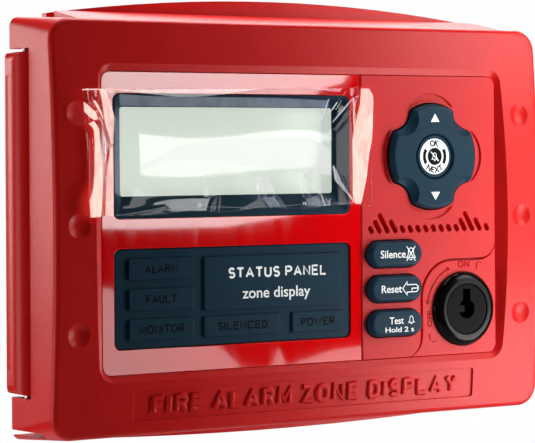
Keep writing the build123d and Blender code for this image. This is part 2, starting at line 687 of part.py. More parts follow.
def board_chips():
    places = [(-52.0, 12.0, 14.0, 14.0), (-52.0, -12.0, 9.0, 6.0), (-40.0, -12.0, 9.0, 6.0)]
    places += [(44.0, 14.0, 10.0, 7.5), (44.0, 30.0, 9.0, 6.0), (60.0, 30.0, 6.0, 5.0)]
    return Compound(children=[behind_board(x, z, w, t, 1.5) for x, z, w, t in places])


def capacitors():
    cans = []
    for x, z in ((56.0, 44.0), (64.5, 44.0), (-62.0, -40.0)):
        foot = behind_board(x, z, 6.6, 6.6, 1.0)
        cans.append(foot + post(x, z, 3.1, BOARD_H[0] - 5.4, BOARD_H[0] - 1.0))
    return Compound(children=cans)


def piezo_sounder():
    x, z = SOUNDER_AT
    can = post(x, z, 6.5, BOARD_H[1], 18.6)
    can = fillet(can.edges().sort_by(Axis.Y)[0], 0.6)
    return can - post(x, z, 1.2, 16.0, 19.0)


def terminal_places():
    first = -(TERMINAL_COUNT - 1) / 2 * TERMINAL_PITCH
    return [first + number * TERMINAL_PITCH for number in range(TERMINAL_COUNT)]


def terminal_block():
    """Wire terminals on the board's rear side, open to the screws and to the wires below."""
    width = TERMINAL_COUNT * TERMINAL_PITCH
    body = behind_board(0, -40.0, width, 9.0, 6.8)
    for x in terminal_places():
        body -= post(x, -39.2, 1.75, 2.0, 6.2)
        body -= Pos(x, -(BOARD_H[0] - 2.6), -43.5) * Box(3.2, 3.0, 4.0)
    return body


def terminal_screws():
    made = []
    for x in terminal_places():
        screw = post(x, -39.2, 1.7, 3.4, 6.2)
        made.append(screw - Pos(x, -3.4, -39.2) * Box(0.5, 1.2, 4.0))
    return Compound(children=made)


def lcd_header():
    return block(rect((-69.0, -28.4), (48.0, 50.5)), BOARD_H[1], LCD_BOARD_H[0])


def keypad_header():
    return block(rect((22.0, 42.0), (-39.0, -36.4)), BOARD_H[1], KEYPAD_BOARD_H[0])


def protective_film():
    """Thin clear sheet laid over the display, its left end up on the bezel."""
    low = [(-78.6, 27.2), (-75.2, 27.2), (-71.2, 24.6), (23.8, 24.6)]
    line = low + [(x, h + 0.15) for x, h in reversed(low)]
    strip = make_face(Polyline(*[(x, -h) for x, h in line], close=True))
    return extrude(Plane((0, 0, 4.0), x_dir=(1, 0, 0), z_dir=(0, 0, 1)) * strip, amount=37.5)


def parts():
    made = {
        "front_cover": front_cover(),
        "backplate": backplate(),
        "hinge_pin_upper": hinge_pin(RAIL_Z[1], 1),
        "hinge_pin_lower": hinge_pin(RAIL_Z[0], -1),
        "display_panel": display_panel(),
        "keypad_panel": keypad_panel(),
        "lock_panel": lock_panel(),
        "display_frame": display_frame(),
        "display_window": display_window(),
        "lcd_bezel": lcd_bezel(),
        "lcd_glass": lcd_glass(),
        "lcd_backlight": lcd_backlight(),
        "lcd_board": lcd_board(),
        "lcd_header": lcd_header(),
        "lcd_screws": screws(LCD_SCREWS, LCD_BOARD_H, 5.0),
        "label_window": label_window(),
        "led_light_guide": led_light_guide(),
        "indicator_leds": indicator_leds(),
        "nav_pad": nav_pad(),
        "ack_button": ack_button(),
        "keypad_mat": keypad_mat(),
        "keypad_board": keypad_board(),
        "keypad_header": keypad_header(),
        "keypad_screws": screws(KEYPAD_BOSSES, KEYPAD_BOARD_H, 5.0, 2.0),
        "key_switch_body": key_switch_body(),
        "key_plug": key_plug(),
        "lock_nut": lock_nut(),
        "contact_block": contact_block(),
        "main_board": main_board(),
        "board_screws": screws(BOARD_SCREWS, BOARD_H, 6.0),
        "board_chips": board_chips(),
        "capacitors": capacitors(),
        "piezo_sounder": piezo_sounder(),
        "terminal_block": terminal_block(),
        "terminal_screws": terminal_screws(),
        "protective_film": protective_film(),
    }
    for name, z in KEY_Z.items():
        made[name] = key_button(z)
    return made


os.makedirs("parts", exist_ok=True)
for node, shape in parts().items():
    export_step(shape, f"parts/{node}.step")
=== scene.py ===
import json
import math
import random

import bmesh
import bpy
from mathutils import Matrix, Vector

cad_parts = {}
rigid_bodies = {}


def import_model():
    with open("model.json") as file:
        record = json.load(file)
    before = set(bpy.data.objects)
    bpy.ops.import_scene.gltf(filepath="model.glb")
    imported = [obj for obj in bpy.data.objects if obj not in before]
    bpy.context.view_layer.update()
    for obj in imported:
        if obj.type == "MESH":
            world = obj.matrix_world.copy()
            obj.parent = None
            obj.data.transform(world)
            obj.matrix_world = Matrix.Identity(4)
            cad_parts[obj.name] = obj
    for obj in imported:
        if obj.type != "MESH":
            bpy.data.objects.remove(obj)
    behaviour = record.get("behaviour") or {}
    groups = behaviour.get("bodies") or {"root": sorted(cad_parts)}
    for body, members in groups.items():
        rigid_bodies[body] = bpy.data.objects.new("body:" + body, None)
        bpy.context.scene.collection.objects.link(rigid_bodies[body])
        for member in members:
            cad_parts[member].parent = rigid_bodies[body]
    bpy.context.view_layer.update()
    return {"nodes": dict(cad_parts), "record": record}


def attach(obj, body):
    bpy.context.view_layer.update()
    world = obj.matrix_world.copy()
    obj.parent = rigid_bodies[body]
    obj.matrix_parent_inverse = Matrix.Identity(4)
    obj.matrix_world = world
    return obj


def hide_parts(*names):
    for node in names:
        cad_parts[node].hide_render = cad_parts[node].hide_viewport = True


# Looks for a wall-mounted fire alarm indicator panel. Places on the panel are given as the
# CAD part gives them: x and z in millimetres from the centre of the wall-screw pattern, and
# a height h from the wall towards the front. point() turns them into the frame's metres.

MM = 0.001
SEED = 7

# ---- surfaces of the CAD part that the printed and raised details lie on ----
CROWN_H = 27.0
CROWN_R = 620.0
PANEL_H = 24.3
KEY_H = 26.6
ACK_H = 26.2
TILE_H = 24.2
TEXT_FRAME_DEPTH = 0.6
PAD = (46.7, 20.4)
LOCK = (58.9, -28.7)
KEY_Z = {"silence_button": -10.3, "reset_button": -21.25, "test_button": -32.15}


def point(x, z, h):
    return Vector((x, -h, z)) * MM


def crown_height(z):
    return CROWN_H - CROWN_R + math.sqrt(CROWN_R**2 - z**2)


def ramp(value, low, high):
    """0 below low, 1 above high, smooth between them."""
    t = min(1.0, max(0.0, (value - low) / (high - low)))
    return t * t * (3 - 2 * t)


# ---------------------------------------------------------------- materials

# radius that sharp edges are shaded with, in metres
GRAINED_EDGE = 0.00025
POLISHED_EDGE = 0.0002


class Nodes:
    """A new material and short calls for the nodes that its shader needs."""

    def __init__(self, name):
        self.material = bpy.data.materials.new(name)
        self.material.use_nodes = True
        self.tree = self.material.node_tree
        self.shader = self.tree.nodes["Principled BSDF"]
        self.output = self.tree.nodes["Material Output"]
        self.place = self.add("ShaderNodeTexCoord").outputs["Object"]

    def add(self, kind, **values):
        node = self.tree.nodes.new(kind)
        for name, value in values.items():
            setattr(node, name, value)
        return node

    def link(self, source, target):
        self.tree.links.new(source, target)

    def set(self, **values):
        """Sets the shader's own sockets, named with underscores for spaces."""
        for name, value in values.items():
            self.shader.inputs[name.replace("_", " ")].default_value = value

    def stretched(self, x, y, z):
        """Object coordinates scaled by different amounts along each axis."""
        mapping = self.add("ShaderNodeMapping")
        mapping.inputs["Scale"].default_value = (x, y, z)
        self.link(self.place, mapping.inputs["Vector"])
        return mapping.outputs["Vector"]

    def noise(self, scale, detail=3.0, roughness=0.55, distortion=0.0, at=None):
        node = self.add("ShaderNodeTexNoise")
        node.inputs["Scale"].default_value = scale
        node.inputs["Detail"].default_value = detail
        node.inputs["Roughness"].default_value = roughness
        node.inputs["Distortion"].default_value = distortion
        self.link(at or self.place, node.inputs["Vector"])
        return node.outputs["Fac"]

    def cells(self, scale):
        node = self.add("ShaderNodeTexVoronoi", feature="F1")
        node.inputs["Scale"].default_value = scale
        self.link(self.place, node.inputs["Vector"])
        return node.outputs["Distance"]

    def spread(self, value, low, high, start=0.3, end=0.7):
        """Maps value from start..end onto low..high."""
        node = self.add("ShaderNodeMapRange")
        node.inputs["From Min"].default_value = start
        node.inputs["From Max"].default_value = end
        node.inputs["To Min"].default_value = low
        node.inputs["To Max"].default_value = high
        self.link(value, node.inputs["Value"])
        return node.outputs["Result"]

    def blend(self, value, first, second):
        """A colour between two colours, each a tuple or a socket."""
        node = self.add("ShaderNodeMix", data_type="RGBA")
        self.link(value, node.inputs["Factor"])
        for socket, colour in ((node.inputs[6], first), (node.inputs[7], second)):
            if isinstance(colour, tuple):
                socket.default_value = (*colour, 1.0)
            else:
                self.link(colour, socket)
        return node.outputs[2]

    def maths(self, operation, first, second):
        node = self.add("ShaderNodeMath", operation=operation)
        for socket, value in zip(node.inputs, (first, second)):
            if isinstance(value, (int, float)):
                socket.default_value = value
            else:
                self.link(value, socket)
        return node.outputs[0]

    def bump(self, height, depth, after=None):
        """A bump of the given depth in metres, on top of an earlier one if given."""
        node = self.add("ShaderNodeBump")
        node.inputs["Strength"].default_value = 1.0
        node.inputs["Distance"].default_value = depth
        self.link(height, node.inputs["Height"])
        if after is not None:
            self.link(after, node.inputs["Normal"])
        return node.outputs["Normal"]

    def rounded(self, radius):
        """A normal that rounds sharp edges off by a small radius in metres."""
        node = self.add("ShaderNodeBevel", samples=4)
        node.inputs["Radius"].default_value = radius
        return node.outputs["Normal"]

    def finish_mixed(self, share, first, second):
        """Ends in a mix of two shaders' outputs, in place of the principled shader."""
        self.tree.nodes.remove(self.shader)
        mix = self.add("ShaderNodeMixShader")
        for socket, source in zip(mix.inputs, (share, first, second)):
            self.link(source, socket)
        self.link(mix.outputs[0], self.output.inputs["Surface"])
        return self.material

    def finish(self, colour=None, roughness=None, normal=None):
        sockets = self.shader.inputs
        if colour is not None:
            self.link(colour, sockets["Base Color"])
        if roughness is not None:
            self.link(roughness, sockets["Roughness"])
        if normal is not None:
            self.link(normal, sockets["Normal"])
        return self.material


def grained_plastic(name, dark, light, rough, grain_depth, grain_scale, shine_level=0.5):
    """Moulded plastic with a fine spark-eroded texture, faint flow marks and soft edges."""
    n = Nodes(name)
    flow = n.noise(24, 4, 0.6, 0.6)
    grain = n.noise(grain_scale, 2, 0.7)
    speck = n.noise(grain_scale * 2.7, 1, 0.5)
    tone = n.maths("ADD", n.maths("MULTIPLY", flow, 0.6), n.maths("MULTIPLY", speck, 0.4))
    colour = n.blend(n.spread(tone, 0, 1, 0.36, 0.64), dark, light)
    shine = n.spread(n.maths("ADD", n.maths("MULTIPLY", grain, 0.7), n.maths("MULTIPLY", flow, 0.3)), *rough)
    pits = n.spread(grain, 0, 1, 0.38, 0.62)
    normal = n.bump(speck, grain_depth * 0.35, after=n.bump(pits, grain_depth, after=n.rounded(GRAINED_EDGE)))
    n.set(Specular_IOR_Level=shine_level)
    return n.finish(colour, shine, normal)


def polished_plastic(name, dark, light, rough, waviness, coat=0.5, shine_level=0.5):
    """Glossy plastic with a slight waviness, dust and hairline wipe marks."""
    n = Nodes(name)
    broad = n.noise(14, 2, 0.5)
    wipe = n.noise(260, 2, 0.6, at=n.stretched(1, 1, 0.12))
    dust = n.spread(n.cells(900), 1, 0, 0.05, 0.12)
    colour = n.blend(n.spread(broad, 0, 1, 0.35, 0.65), dark, light)
    shine = n.maths("ADD", n.spread(wipe, rough[0], rough[1], 0.4, 0.75), n.maths("MULTIPLY", dust, 0.12))
    normal = n.bump(n.noise(38, 1, 0.4), waviness, after=n.rounded(POLISHED_EDGE))
    n.set(Coat_Weight=coat, Coat_Roughness=0.02, Specular_IOR_Level=shine_level)
    return n.finish(colour, shine, normal)


def clear_sheet(name, tint, haze, square_on, grazing):
    """Clear plastic seen through, that still mirrors lamps.

    square_on is the share of gloss seen square on, and grazing what a grazing view adds."""
    n = Nodes(name)
    facing = n.add("ShaderNodeLayerWeight")
    facing.inputs["Blend"].default_value = 0.5
    rise = n.maths("POWER", facing.outputs["Facing"], 5.0)
    share = n.maths("ADD", n.maths("MULTIPLY", rise, grazing), square_on)
    through = n.add("ShaderNodeBsdfTransparent")
    through.inputs["Color"].default_value = (*tint, 1.0)
    gloss = n.add("ShaderNodeBsdfGlossy")
    gloss.inputs["Color"].default_value = (1, 1, 1, 1)
    n.link(n.spread(n.noise(90, 3, 0.6, 0.8), *haze, 0.4, 0.75), gloss.inputs["Roughness"])
    return n.finish_mixed(share, through.outputs[0], gloss.outputs[0])


def painted_light_patch(name, colour, glow, share):
    """Crumpled film patch with painted light: a diffuse colour that glows a little, standing in for
    highlights and reflections on the film, with a soft uneven density.
    """
    n = Nodes(name)
    # the diffuse colour and the emission glow below are painted highlight and reflection
    through = n.add("ShaderNodeBsdfTransparent")
    painted_diffuse = n.add("ShaderNodeBsdfDiffuse")
    painted_diffuse.inputs["Color"].default_value = (*colour, 1.0)
    painted_glow = n.add("ShaderNodeEmission")
    painted_glow.inputs["Color"].default_value = (*colour, 1.0)
    painted_glow.inputs["Strength"].default_value = glow
    both = n.add("ShaderNodeAddShader")
    n.link(painted_diffuse.outputs[0], both.inputs[0])
    n.link(painted_glow.outputs[0], both.inputs[1])
    cloud = n.noise(1.0, 3, 0.5, 0.6, at=n.stretched(420, 100, 150))
    density = n.spread(cloud, share * 0.75, min(1.0, share * 1.15), 0.35, 0.6)
    return n.finish_mixed(density, through.outputs[0], both.outputs[0])


def display_glass(name):
    """Backlit liquid-crystal cell: pale grey-green, with a faint dot grid."""
    n = Nodes(name)
    grid = n.add("ShaderNodeTexBrick", offset=0.0)
    grid.inputs["Scale"].default_value = 1.0
    grid.inputs["Mortar Size"].default_value = 0.00005
    grid.inputs["Brick Width"].default_value = 0.00058
    grid.inputs["Row Height"].default_value = 0.00062
    turn = n.add("ShaderNodeSeparateXYZ")
    flat = n.add("ShaderNodeCombineXYZ")
    n.link(n.place, turn.inputs[0])
    n.link(turn.outputs["X"], flat.inputs["X"])
    n.link(turn.outputs["Z"], flat.inputs["Y"])
    n.link(flat.outputs[0], grid.inputs["Vector"])
    cloud = n.spread(n.noise(30, 2, 0.5, 0.4), 0, 1)
    ground = n.blend(cloud, (0.74, 0.8, 0.72), (0.8, 0.86, 0.78))
    lines = n.blend(n.maths("MULTIPLY", grid.outputs["Fac"], 0.08), ground, (0.5, 0.55, 0.5))
    n.set(Specular_IOR_Level=0.1, Emission_Color=(0.87, 0.94, 0.85, 1.0), Emission_Strength=0.7)
    return n.finish(lines, n.spread(cloud, 0.32, 0.42, 0, 1))


def brushed_metal(name, dark, light, rough):
    """Drawn or plated metal with fine streaks and a little tarnish."""
    n = Nodes(name)
    streak = n.noise(700, 3, 0.6, at=n.stretched(1, 1, 0.06))
    tarnish = n.noise(120, 4, 0.6)
    colour = n.blend(n.spread(tarnish, 0, 1), dark, light)
    n.set(Metallic=1.0)
    return n.finish(colour, n.spread(streak, *rough), n.bump(streak, 0.00001))


def circuit_board(name):
    """Green solder mask over a woven laminate, with copper runs showing faintly."""
    n = Nodes(name)
    split = n.add("ShaderNodeSeparateXYZ")
    n.link(n.place, split.inputs[0])
    runs = []
    for axis, other in (("X", "Z"), ("Z", "X")):
        wave = n.add("ShaderNodeCombineXYZ")
        n.link(split.outputs[axis], wave.inputs["X"])
        n.link(n.maths("MULTIPLY", split.outputs[other], 0.05), wave.inputs["Y"])
        stripes = n.maths("SINE", n.maths("MULTIPLY", split.outputs[axis], 3700.0), 0.0)
        mask = n.spread(n.noise(180, 0, 0.5, at=wave.outputs[0]), 0, 1, 0.5, 0.53)
        runs.append(n.maths("MULTIPLY", n.spread(stripes, 0, 1, 0.1, 0.35), mask))
    copper = n.maths("MAXIMUM", runs[0], runs[1])
    weave = n.noise(1600, 2, 0.6)
    mask = n.blend(n.spread(weave, 0, 1), (0.012, 0.09, 0.035), (0.02, 0.13, 0.05))
    colour = n.blend(copper, mask, (0.05, 0.27, 0.09))
    n.set(Coat_Weight=0.3, Coat_Roughness=0.2)
    height = n.maths("ADD", copper, n.maths("MULTIPLY", weave, 0.2))
    return n.finish(colour, n.spread(weave, 0.28, 0.45), n.bump(height, 0.00004))


def ink(name, colour, worn, rough=0.45, lift=0.0):
    """Screen-printed ink, a little uneven and worn through in specks. lift is how far it glows."""
    n = Nodes(name)
    n.set(Specular_IOR_Level=0.1, Emission_Color=(*colour, 1.0), Emission_Strength=lift)
    wear = n.spread(n.noise(1500, 3, 0.65), 0, 1, 0.62, 0.8)
    tone = n.spread(n.noise(220, 2, 0.5), rough - 0.06, rough + 0.08)
    return n.finish(n.blend(wear, colour, worn), tone, n.bump(n.noise(2600, 1, 0.5), 0.00001))


def translucent_rubber(name):
    n = Nodes(name)
    cloud = n.noise(150, 3, 0.5)
    n.set(Subsurface_Weight=0.25, Subsurface_Scale=0.001, Sheen_Weight=0.1)
    return n.finish(n.blend(cloud, (0.42, 0.45, 0.47), (0.56, 0.58, 0.6)), n.spread(cloud, 0.5, 0.68))


def make_materials():
    """One material for each of the record's slots."""
    made = {
        "clear": clear_sheet("clear", (0.97, 0.98, 0.975), (0.02, 0.05), 0.045, 0.9),
        "clear_film": clear_sheet("clear_film", (0.99, 0.985, 0.985), (0.03, 0.1), 0.02, 0.6),
        "lcd": display_glass("lcd"),
        "circuit_board": circuit_board("circuit_board"),
        "silicone": translucent_rubber("silicone"),
    }
    # dark colour, light colour, roughness, grain depth in metres, grain scale, specular level
    grained = {
        "case_red": ((0.78, 0.012, 0.012), (0.88, 0.018, 0.016), (0.24, 0.34), 0.000012, 2900, 0.22),
        "satin_red": ((0.82, 0.024, 0.026), (0.92, 0.032, 0.034), (0.3, 0.42), 0.000015, 3600, 0.25),
        "navy": ((0.008, 0.041, 0.07), (0.012, 0.052, 0.088), (0.34, 0.46), 0.00001, 3600, 0.14),
        "white_plastic": ((0.74, 0.74, 0.71), (0.82, 0.82, 0.79), (0.4, 0.55), 0.00003, 1800),
        "terminal_green": ((0.01, 0.17, 0.06), (0.015, 0.23, 0.08), (0.34, 0.5), 0.00003, 2000),
    }
    # dark colour, light colour, roughness, depth of the waves in metres, coat, specular level
    polished = {
        "gloss_red": ((0.62, 0.0, 0.001), (0.7, 0.0, 0.002), (0.03, 0.06), 0.000004, 0.6),
        "black_plastic": ((0.002, 0.002, 0.002), (0.004, 0.004, 0.004), (0.14, 0.22), 0.00001, 0.0, 0.16),
        "led_lens": ((0.62, 0.6, 0.5), (0.74, 0.7, 0.58), (0.08, 0.16), 0.00001),
    }
    # dark colour, light colour, roughness
    metal = {
        "steel": ((0.5, 0.5, 0.5), (0.7, 0.7, 0.69), (0.22, 0.4)),
        "pin_metal": ((0.45, 0.44, 0.42), (0.66, 0.65, 0.62), (0.2, 0.36)),
        "can_metal": ((0.6, 0.6, 0.62), (0.8, 0.8, 0.82), (0.18, 0.3)),
    }
    for make, kinds in ((grained_plastic, grained), (polished_plastic, polished), (brushed_metal, metal)):
        for name, values in kinds.items():
            made[name] = make(name, *values)
    return made


def make_inks():
    return {
        "white": ink("white_ink", (0.95, 0.96, 0.96), (0.7, 0.73, 0.76), lift=0.35),
        "dark": ink("dark_ink", (0.001, 0.003, 0.006), (0.006, 0.014, 0.022), 0.5),
        "red": ink("dark_red_ink", (0.5, 0.0, 0.0), (0.6, 0.0, 0.002), 0.6),
    }


def dress_nodes(frame, materials):
    """Gives each CAD node the material of its slot, and the lock's plug a duller one."""
    dark, light = (0.003, 0.003, 0.003), (0.005, 0.005, 0.005)
    special = {"key_plug": grained_plastic("plug_face", dark, light, (0.3, 0.42), 0.00001, 2600, 0.05)}
    for part in frame["record"]["subparts"]:
        mesh = frame["nodes"][part["node"]].data
        mesh.materials.clear()
        mesh.materials.append(special.get(part["node"], materials[part["material_slot"]]))


# ---------------------------------------------------------------- printed and raised shapes

# thickness of the printing, in millimetres, and how far the font's outline is thickened
INK_H = 0.05
KEY_BOLD = 0.01
MARK_BOLD = 0.025


class Print:
    """Flat shapes on one surface, gathered into one thin solid mesh.

    surface is a height, or a function of x and z that gives one. Shapes run from
    surface + base to surface + base + thickness."""

    def __init__(self, surface, thickness, base=-0.02):
        self.surface = surface if callable(surface) else lambda x, z: surface
        self.thickness = thickness
        self.base = base
        self.mesh = bmesh.new()

    def _height(self, x, z, share):
        return self.surface(x, z) + self.base + share * (self.thickness - self.base)

    def polygon(self, outline):
        """A filled outline of (x, z) points, made solid."""
        rings = []
        for share in (0.0, 1.0):
            rings.append([self.mesh.verts.new(point(x, z, self._height(x, z, share))) for x, z in outline])
        bottom, top = rings
        self.mesh.faces.new(top)
        self.mesh.faces.new(list(reversed(bottom)))
        count = len(outline)
        for i in range(count):
            j = (i + 1) % count
            self.mesh.faces.new((bottom[i], bottom[j], top[j], top[i]))

    def ring(self, centre, inner, outer, start=0.0, end=360.0, steps=48):
        """Part of a flat ring between two radii, with angles from +x towards +z."""
        full = abs(end - start) >= 360.0
        if full and inner == 0:
            self.polygon(arc(centre, outer, 0, 360, steps)[:-1])
            return
        for i in range(steps):
            a = start + (end - start) * i / steps
            b = start + (end - start) * (i + 1) / steps
            quad = arc(centre, outer, a, b, 1) + arc(centre, inner, b, a, 1)
            self.polygon(quad)

    def line(self, points, width, closed=False):
        """A stroke of even width along (x, z) points, with mitred corners."""
        count = len(points)
        left, right = [], []
        for i in range(count):
            here = Vector(points[i])
            before = Vector(points[i - 1]) if i or closed else None
            after = Vector(points[(i + 1) % count]) if i < count - 1 or closed else None
            ways = []
            if before is not None:
                ways.append((here - before).normalized())
            if after is not None:
                ways.append((after - here).normalized())
            way = sum(ways, Vector((0, 0))).normalized()
            side = Vector((-way.y, way.x))
            reach = width / 2 / max(0.5, side.dot(Vector((-ways[0].y, ways[0].x))))
            left.append(here + side * reach)
            right.append(here - side * reach)
        last = count if closed else count - 1
        for i in range(last):
            j = (i + 1) % count
            self.polygon([tuple(right[i]), tuple(right[j]), tuple(left[j]), tuple(left[i])])

    def text(self, words, centre, cap, bold, width=None, turn=0.0):
        """Upright or turned lettering, cap tall, squeezed to width if given."""
        flat = font_outline(words, bold)
        scale = cap / flat["cap"]
        wide = (width / flat["width"]) if width else scale
        rotate = Matrix.Rotation(math.radians(turn), 2)
        start = len(self.mesh.verts)
        self.mesh.from_mesh(flat["mesh"])
        self.mesh.verts.ensure_lookup_table()
        for vert in self.mesh.verts[start:]:
            x = (vert.co.x - flat["middle"][0]) * wide
            y = (vert.co.y - flat["middle"][1]) * scale
            at = rotate @ Vector((x, y)) + Vector(centre)
            share = 1.0 if vert.co.z > 0 else 0.0
            vert.co = point(at.x, at.y, self._height(at.x, at.y, share))
        bpy.data.meshes.remove(flat["mesh"])

    def build(self, name, body, material):
        mesh = bpy.data.meshes.new(name)
        bmesh.ops.recalc_face_normals(self.mesh, faces=self.mesh.faces)
        self.mesh.to_mesh(mesh)
        self.mesh.free()
        place_mesh(mesh, name, body, material)


def place_mesh(mesh, name, body, material):
    """Links a finished mesh as a piece that rides on a body."""
    made = bpy.data.objects.new(name, mesh)
    bpy.context.scene.collection.objects.link(made)
    mesh.materials.append(material)
    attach(made, body)
    return made


def arc(centre, radius, start, end, steps):
    """Points along an arc, with angles in degrees from +x towards +z."""
    found = []
    for i in range(steps + 1):
        angle = math.radians(start + (end - start) * i / steps)
        found.append((centre[0] + radius * math.cos(angle), centre[1] + radius * math.sin(angle)))
    return found


def font_outline(words, bold):
    """Lettering as a flat solid mesh from z = -0.5 to 0.5, with its sizes."""
    curve = bpy.data.curves.new("lettering", "FONT")
    curve.body = "H"
    curve.size = 1.0
    curve.offset = bold
    curve.resolution_u = 4
    curve.extrude = 0.5
    holder = bpy.data.objects.new("lettering", curve)
    bpy.context.scene.collection.objects.link(holder)
    sizes = {}
    for key, body in (("cap", "H"), ("mesh", words)):
        curve.body = body
        bpy.context.view_layer.update()
        graph = bpy.context.evaluated_depsgraph_get()
        sizes[key] = bpy.data.meshes.new_from_object(holder.evaluated_get(graph))
    cap_low, cap_high = span(sizes["cap"], 1)
    left, right = span(sizes["mesh"], 0)
    bpy.data.meshes.remove(sizes["cap"])
    bpy.data.objects.remove(holder)
    bpy.data.curves.remove(curve)
    middle = ((left + right) / 2, (cap_low + cap_high) / 2)
    return {"mesh": sizes["mesh"], "cap": cap_high - cap_low, "width": right - left, "middle": middle}


def span(mesh, axis):
    values = [v.co[axis] for v in mesh.vertices]
    return min(values), max(values)


def bell(shape, centre, tall, stroke):
    """An outlined bell with a clapper bar."""
    x, z = centre
    half = tall / 2
    rim = half * 0.78
    flank = [(rim, half * -0.62), (rim * 0.62, half * -0.2), (rim * 0.55, half * 0.35)]
    outline = [(x - dx, z + dz) for dx, dz in flank]
    outline += arc((x, z + half * 0.4), rim * 0.5, 160, 20, 6)
    outline += [(x + dx, z + dz) for dx, dz in reversed(flank)]
    shape.line(outline, stroke, closed=True)
    shape.line([(x - half * 0.25, z - half * 0.9), (x + half * 0.25, z - half * 0.9)], stroke)


def letter_strokes():
    """Strokes of plain block capitals, one unit tall, as lists of (x, z) points."""
    bowl = [(0, 1), (0.36, 1)] + arc((0.36, 0.75), 0.25, 80, -80, 8) + [(0.36, 0.5), (0, 0.5)]
    belly = [(0, 0), (0, 1), (0.26, 1)]
    belly += arc((0.26, 0.62), 0.38, 80, 0, 5) + arc((0.26, 0.38), 0.38, 0, -80, 5)
    snake = arc((0.3, 0.745), 0.255, 25, 255, 12) + arc((0.32, 0.255), 0.255, 75, -155, 12)
    round_o = arc((0.36, 0.64), 0.36, 0, 180, 10)
    round_o += arc((0.36, 0.36), 0.36, 180, 360, 10) + [(0.72, 0.64)]
    return {
        "A": [[(0, 0), (0.37, 1), (0.74, 0)], [(0.13, 0.33), (0.61, 0.33)]],
        "C": [arc((0.36, 0.64), 0.36, 20, 180, 9) + arc((0.36, 0.36), 0.36, 180, 340, 9)],
        "D": [belly + [(0.26, 0), (0, 0)]],
        "E": [[(0.58, 1), (0, 1), (0, 0), (0.6, 0)], [(0, 0.52), (0.52, 0.52)]],
        "F": [[(0, 0), (0, 1), (0.6, 1)], [(0, 0.5), (0.5, 0.5)]],
        "I": [[(0, 0), (0, 1)]],
        "L": [[(0, 1), (0, 0), (0.56, 0)]],
        "M": [[(0, 0), (0, 1), (0.4, 0.15), (0.8, 1), (0.8, 0)]],
        "N": [[(0, 0), (0, 1), (0.64, 0), (0.64, 1)]],
        "O": [round_o],
        "P": [[(0, 0)] + bowl],
        "R": [[(0, 0)] + bowl, [(0.36, 0.5), (0.62, 0)]],
        "S": [snake],
        "T": [[(0, 1), (0.66, 1)], [(0.33, 1), (0.33, 0)]],
        "U": [[(0, 1)] + arc((0.31, 0.31), 0.31, 180, 360, 10) + [(0.62, 1)]],
        "W": [[(0, 1), (0.24, 0), (0.48, 0.9), (0.72, 0), (0.96, 1)]],
        "Y": [[(0, 1), (0.35, 0.46), (0.7, 1)], [(0.35, 0.46), (0.35, 0)]],
        "Z": [[(0, 1), (0.6, 1), (0, 0), (0.62, 0)]],
    }


def stroke_mesh(words, middle, cap, bead, width, gap, space):
    """Block capitals made of round bars of radius bead, in mm, lying on height 0."""
    strokes = letter_strokes()
    along = 0.0
    placed = []
    for letter in words:
        if letter == " ":
            along += space
            continue
        wide = max(x for line in strokes[letter] for x, z in line)
        placed += [[(along + x, z) for x, z in line] for line in strokes[letter]]
        along += wide + gap
    along -= gap
    curve = bpy.data.curves.new("lettering", "CURVE")
    curve.dimensions = "3D"
    curve.bevel_depth = bead
    curve.bevel_resolution = 5
    curve.use_fill_caps = True
    for line in placed:
        spline = curve.splines.new("POLY")
        spline.points.add(len(line) - 1)
        for knot, (x, z) in zip(spline.points, line):
            knot.co = ((x / along - 0.5) * width + middle[0], (z - 0.5) * cap + middle[1], 0.0, 1.0)
    holder = bpy.data.objects.new("lettering", curve)
    bpy.context.scene.collection.objects.link(holder)
    bpy.context.view_layer.update()
    graph = bpy.context.evaluated_depsgraph_get()
    mesh = bpy.data.meshes.new_from_object(holder.evaluated_get(graph))
    bpy.data.objects.remove(holder)
    bpy.data.curves.remove(curve)
    mesh.flip_normals()
    mesh.materials.clear()
    return mesh


def make_bezel_lettering(materials):
    """Raised capitals in the lettering frame: flat on top, with rounded sides."""
    bead, cap, width = 0.95, 4.4, 111.0
    mesh = stroke_mesh("FIRE ALARM ZONE DISPLAY", (0.0, -52.6), cap, bead, width, 0.5, 0.5)
    for vert in mesh.vertices:
        x, z, rise = vert.co
        rise = max(-1.0, min(1.0, rise / bead / 0.75))
        vert.co = point(x, z, crown_height(z) - TEXT_FRAME_DEPTH + rise * (TEXT_FRAME_DEPTH + 0.1))
    mesh.name = "bezel_lettering"
    for face in mesh.polygons:
        face.use_smooth = True
    place_mesh(mesh, "bezel_lettering", "cover", materials["case_red"])


def print_capitals(name, lines, height, ink_used):
    """Printed block capitals: words, middle, cap height, stroke radius and width, in mm."""
    gathered = bmesh.new()
    for words, middle, cap, bead, width in lines:
        mesh = stroke_mesh(words, middle, cap, bead, width, 0.34, 0.45)
        for vert in mesh.vertices:
            x, z, rise = vert.co
            vert.co = point(x, z, height + INK_H * rise / bead)
        gathered.from_mesh(mesh)
        bpy.data.meshes.remove(mesh)
    made = bpy.data.meshes.new(name)
    gathered.to_mesh(made)
    gathered.free()
    place_mesh(made, name, "cover", ink_used)


def make_indicator_lettering(inks):
    cap, bead = 2.1, 0.29
    labels = [
        ("ALARM", (-52.4, -12.3), cap, bead, 10.6),
        ("FAULT", (-52.4, -21.3), cap, bead, 10.2),
        ("MONITOR", (-52.4, -30.2), cap, bead, 14.8),
        ("SILENCED", (-24.2, -30.3), cap, bead, 17.4),
        ("POWER", (2.95, -30.3), cap, bead, 12.0),
    ]
    print_capitals("indicator_labels", labels, TILE_H, inks["dark"])
    title = ("STATUS PANEL", (-11.5, -14.4), 2.7, 0.33, 35.0)
    print_capitals("panel_title", [title], TILE_H, inks["white"])
    line = Print(TILE_H, INK_H)
    line.text("zone display", (-12.0, -20.6), 3.3, 0.008, width=24.5)
    line.build("panel_subtitle", "cover", inks["white"])


